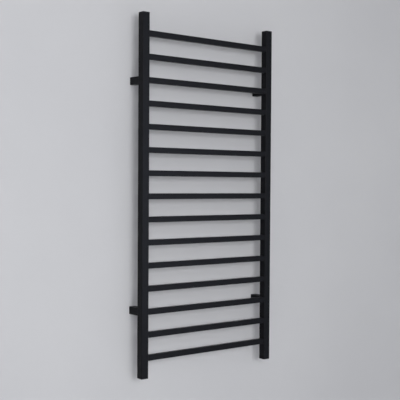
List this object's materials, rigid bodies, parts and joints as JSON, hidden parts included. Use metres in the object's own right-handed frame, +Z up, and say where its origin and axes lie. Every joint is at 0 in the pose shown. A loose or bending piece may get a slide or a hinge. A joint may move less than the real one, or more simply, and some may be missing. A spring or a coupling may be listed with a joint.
{
  "type": "towel warmer rack",
  "caption": "Wall-mounted ladder towel warmer: two square posts joined by evenly spaced flat bars, held off the wall by square stand-offs, heated by a cable inside.",
  "frame": {"origin": "centre of the four wall fixings, on the wall plane, level with the middle bar", "axes": "+Z up along the posts, +X to the right as seen from the room, +Y into the wall"},
  "size_m": [0.5404, 0.072, 1.136],
  "materials": {
    "frame_black": "matte black powder coat, very fine texture",
    "cap_black": "matte moulded",
    "block_zinc": "die-cast, tumbled",
    "zinc_steel": "bright zinc plate",
    "black_steel": "black oxide",
    "cable_silicone": "satin silicone",
    "sleeve_silicone": "satin silicone",
    "wire_brown": "smooth insulation",
    "wire_blue": "smooth insulation",
    "wire_green": "smooth insulation",
    "cutout_case": "satin",
    "terminal_white": "moulded",
    "brass": "plain"
  },
  "bodies": {
    "root": {"post_left": "frame_black", "post_right": "frame_black", "bar_01": "frame_black", "bar_02": "frame_black", "bar_03": "frame_black", "bar_04": "frame_black", "bar_05": "frame_black", "bar_06": "frame_black", "bar_07": "frame_black", "bar_08": "frame_black", "bar_09": "frame_black", "bar_10": "frame_black", "bar_11": "frame_black", "bar_12": "frame_black", "bar_13": "frame_black", "bar_14": "frame_black", "bar_15": "frame_black", "cap_top_left": "cap_black", "cap_top_right": "cap_black", "cap_bottom_left": "cap_black", "cap_bottom_right": "cap_black", "standoff_upper_left": "frame_black", "wall_block_upper_left": "block_zinc", "standoff_upper_right": "frame_black", "wall_block_upper_right": "block_zinc", "standoff_lower_left": "frame_black", "wall_block_lower_left": "block_zinc", "standoff_lower_right": "frame_black", "wall_block_lower_right": "block_zinc", "bracket_screws": "zinc_steel", "lock_washers": "zinc_steel", "rivet_nuts": "zinc_steel", "cable_screw": "zinc_steel", "cable_nut": "zinc_steel", "earth_screw": "zinc_steel", "earth_nut": "zinc_steel", "grub_screws": "black_steel", "heating_cable": "cable_silicone", "joint_sleeve": "sleeve_silicone", "end_sleeve": "sleeve_silicone", "cable_grommet": "sleeve_silicone", "live_tail": "wire_brown", "neutral_tail": "wire_blue", "earth_wire": "wire_green", "thermal_cutout": "cutout_case", "terminal_block": "terminal_white", "terminal_screws": "brass", "earth_tag": "brass"}
  },
  "joints": []
}
